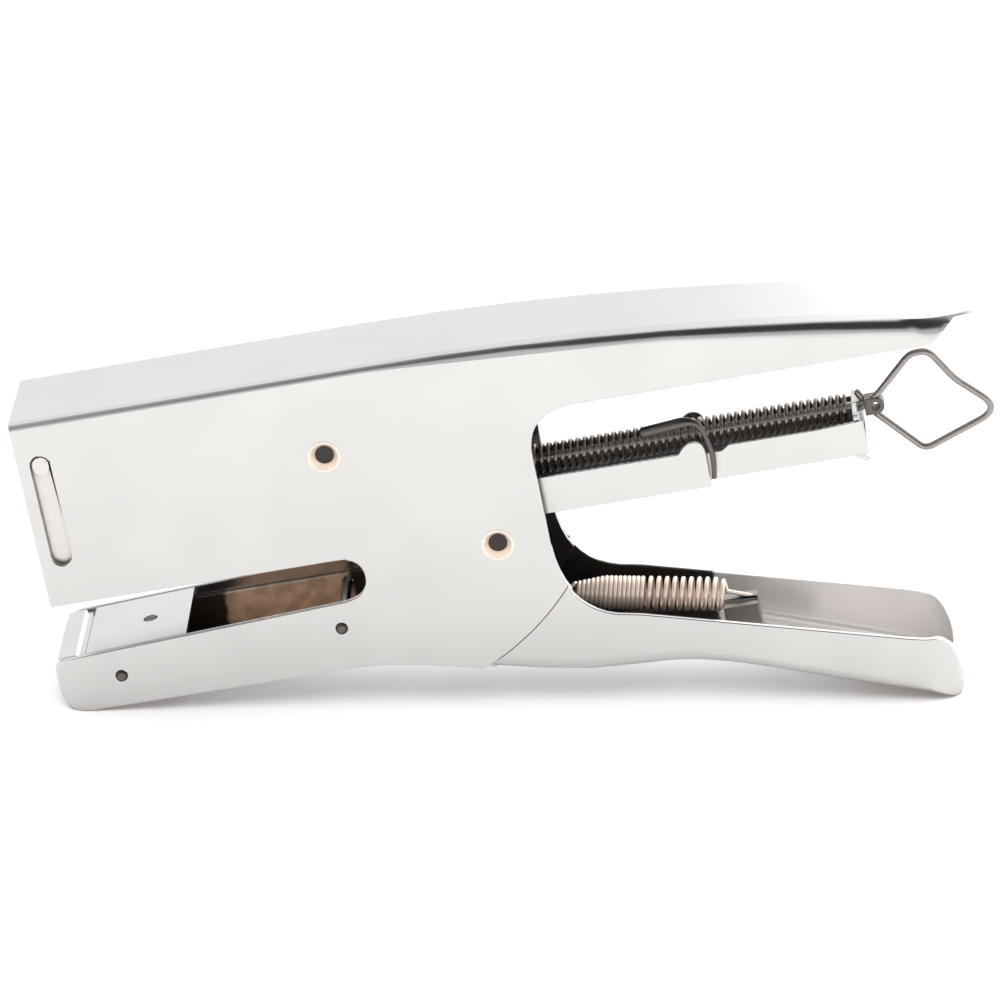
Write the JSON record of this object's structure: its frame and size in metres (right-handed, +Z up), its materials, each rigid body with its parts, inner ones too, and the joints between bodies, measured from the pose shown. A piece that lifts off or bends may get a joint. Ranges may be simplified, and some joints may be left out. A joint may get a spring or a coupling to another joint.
{
  "type": "plier stapler",
  "caption": "Hand-held all-metal plier stapler with a fixed anvil jaw, a lower squeeze lever, a tilting magazine with a pull-out drawer and a wire ring.",
  "frame": {"origin": "centre of the bounding box in plan, at the level that the tool stands on", "axes": "+X from the head to the handles' ends, +Y across the tool, +Z up; the tool stands on the jaw's front and on the lower handle's tip"},
  "size_m": [0.1652, 0.0228, 0.0705],
  "materials": {
    "plated": "bright nickel plate",
    "bare_liner": "unplated, warm tinted",
    "rivet_brass": "tarnished",
    "steel": "satin",
    "spring_steel": "dark drawn wire"
  },
  "bodies": {
    "body": {"body_shell": "plated", "nose_guide": "plated", "jaw_liner": "bare_liner", "anvil_plate": "plated", "anvil_screw": "steel", "jaw_rivet_front": "steel", "jaw_rivet_rear": "steel", "lever_pin": "rivet_brass", "magazine_pin": "rivet_brass", "magazine_bush_near": "steel", "magazine_bush_far": "steel", "return_spring": "spring_steel", "lift_spring": "spring_steel"},
    "lever": {"lower_lever": "plated", "lever_bush": "steel", "spring_clip": "steel", "clip_rivet": "steel"},
    "hammer": {"hammer": "plated", "hammer_pin": "steel", "driver_blade": "steel"},
    "magazine": {"magazine_channel": "plated", "staple_rail": "plated", "staple_strip": "steel"},
    "drawer": {"drawer_channel": "plated", "follower_rod": "steel", "follower_spring": "spring_steel", "ring_clip": "steel"},
    "pusher": {"pusher": "steel"},
    "ring": {"pull_ring": "steel"}
  },
  "joints": [
    {"name": "lever_squeeze", "type": "hinge", "parent": "body", "child": "lever", "pos_m": [-0.02936, 0, 0.04673], "axis": [0, -1, 0], "range_deg": [0, 22.37], "stiffness_Nm_per_rad": 1.5, "springref_deg": -22.92, "deforming": ["return_spring"]},
    {"name": "magazine_tilt", "type": "hinge", "parent": "body", "child": "magazine", "pos_m": [-0.00049, 0, 0.03028], "axis": [0, -1, 0], "range_deg": [0, 6.55], "deforming": ["lift_spring"]},
    {"name": "hammer_stroke", "type": "slide", "parent": "body", "child": "hammer", "axis": [0.1632, 0, -0.9866], "range_m": [0, 0.01641]},
    {"name": "drawer_pull", "type": "slide", "parent": "magazine", "child": "drawer", "axis": [0.9866, 0, 0.1632], "range_m": [0, 0.045]},
    {"name": "pusher_travel", "type": "slide", "parent": "drawer", "child": "pusher", "axis": [0.9866, 0, 0.1632], "range_m": [0, 0.012], "stiffness_N_per_m": 80, "springref_m": -0.03, "deforming": ["follower_spring"]},
    {"name": "ring_swing", "type": "hinge", "parent": "drawer", "child": "ring", "pos_m": [0.0637, 0, 0.05094], "axis": [0, 1, 0], "range_deg": [0, 40]}
  ],
  "couplings": [
    {"joint": "magazine_tilt", "follows": "lever_squeeze", "ratio": 0.29282},
    {"joint": "hammer_stroke", "follows": "lever_squeeze", "m_per_rad": 0.042035}
  ]
}
